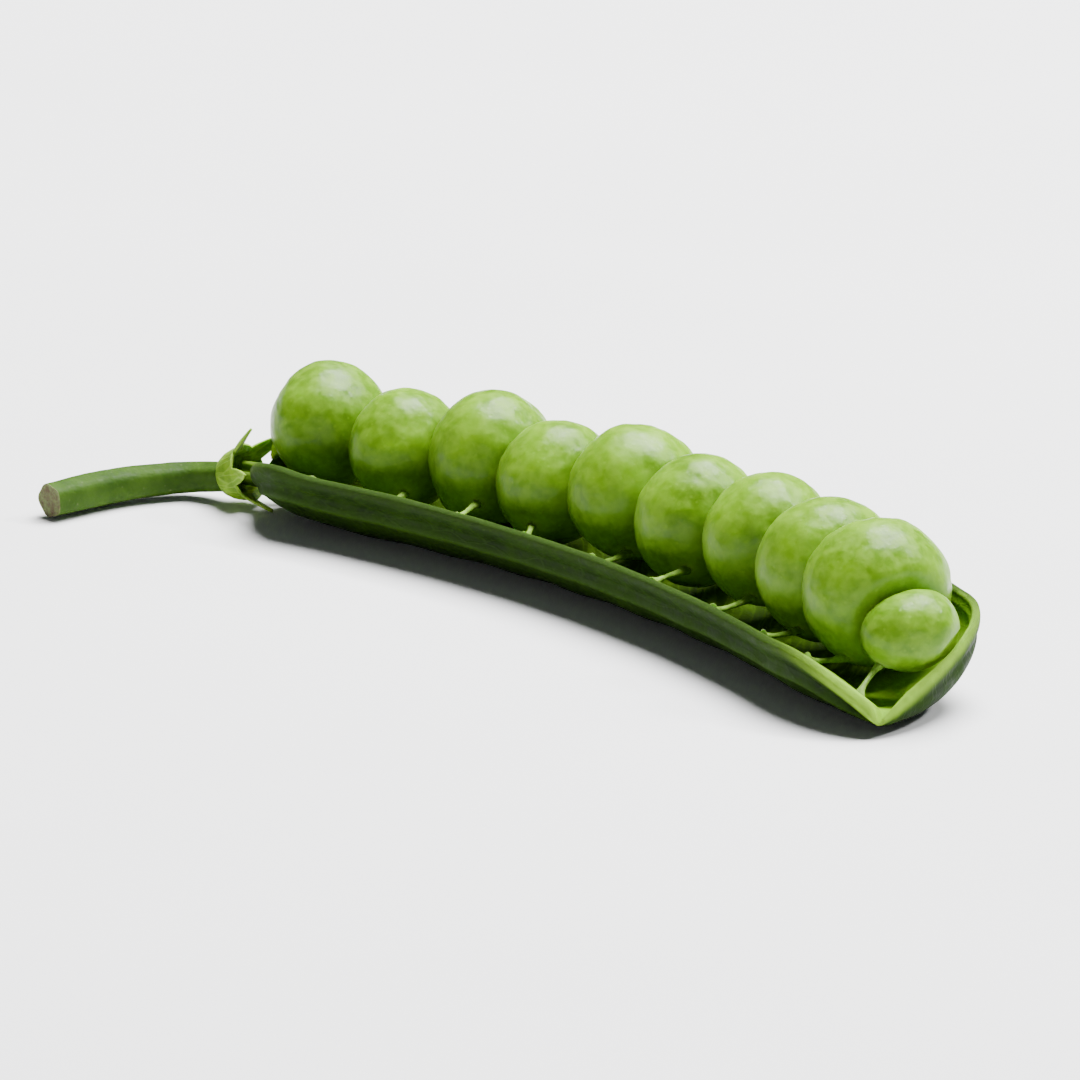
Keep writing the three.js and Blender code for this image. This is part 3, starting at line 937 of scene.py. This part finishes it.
# Table, light and camera.
stage = {
    "tableSize": 3.0,
    "paper": tint(0.86, 0.86, 0.87),
    "paperShade": tint(0.8, 0.8, 0.81),
    "azimuth": 50.0,
    "elevation": 17.0,
    "distance": 1.15,
    "lens": 505.0,
    "aim": (0.0, 0.0, 5.0),
    "lights": (
        {"name": "windowBehind", "azimuth": 195, "elevation": 67, "distance": 0.9, "size": 0.7, "power": 44.0},
        {"name": "windowSide", "azimuth": 150, "elevation": 42, "distance": 1.1, "size": 0.16, "power": 9.0},
        {"name": "frontFill", "azimuth": 30, "elevation": 13, "distance": 1.2, "size": 0.8, "power": 1.0},
    ),
    "skyColour": (0.9, 0.93, 1.0, 1.0),
    "skyStrength": 0.09,
}
bpy.ops.mesh.primitive_plane_add(size=stage["tableSize"])
table = bpy.context.object
table.name = "table"
tableMaterial, tree, surface = newMaterial("tableTop", {"Roughness": 0.55})
tableCloud = fillGroup(tree, mottleGroup, {"Size": 60.0, "Contrast": 0.4, "Shift": 9.0})[0]
tableColour = mixColour(tree, tableCloud, stage["paperShade"], stage["paper"])
tree.links.new(tableColour, surface.inputs["Base Color"])
table.data.materials.append(tableMaterial)


def addLight(name, azimuth, elevation, distance, size, power):
    lamp = bpy.data.lights.new(name, "AREA")
    lamp.shape = "DISK"
    lamp.size = size
    lamp.energy = power
    thing = bpy.data.objects.new(name, lamp)
    scene.collection.objects.link(thing)
    a, e = math.radians(azimuth), math.radians(elevation)
    away = Vector((math.sin(a) * math.cos(e), -math.cos(a) * math.cos(e), math.sin(e)))
    thing.location = away * distance
    thing.rotation_euler = away.to_track_quat("Z", "Y").to_euler()


for light in stage["lights"]:
    addLight(**light)
world = bpy.data.worlds.new("studio")
world.use_nodes = True
sky = world.node_tree.nodes["Background"].inputs
sky["Color"].default_value = stage["skyColour"]
sky["Strength"].default_value = stage["skyStrength"]
scene.world = world

lens = bpy.data.cameras.new("camera")
camera = bpy.data.objects.new("camera", lens)
scene.collection.objects.link(camera)
scene.camera = camera
lens.lens = stage["lens"]
lens.sensor_width = 36.0
turnRound, lookDown = math.radians(stage["azimuth"]), math.radians(stage["elevation"])
back = Vector(
    (math.sin(turnRound) * math.cos(lookDown), -math.cos(turnRound) * math.cos(lookDown), math.sin(lookDown))
)
camera.location = Vector(stage["aim"]) * mm + back * stage["distance"]
camera.rotation_mode = "QUATERNION"
camera.rotation_quaternion = back.to_track_quat("Z", "Y")
lens.clip_start = 0.05
lens.clip_end = 20.0
print("stage ready")
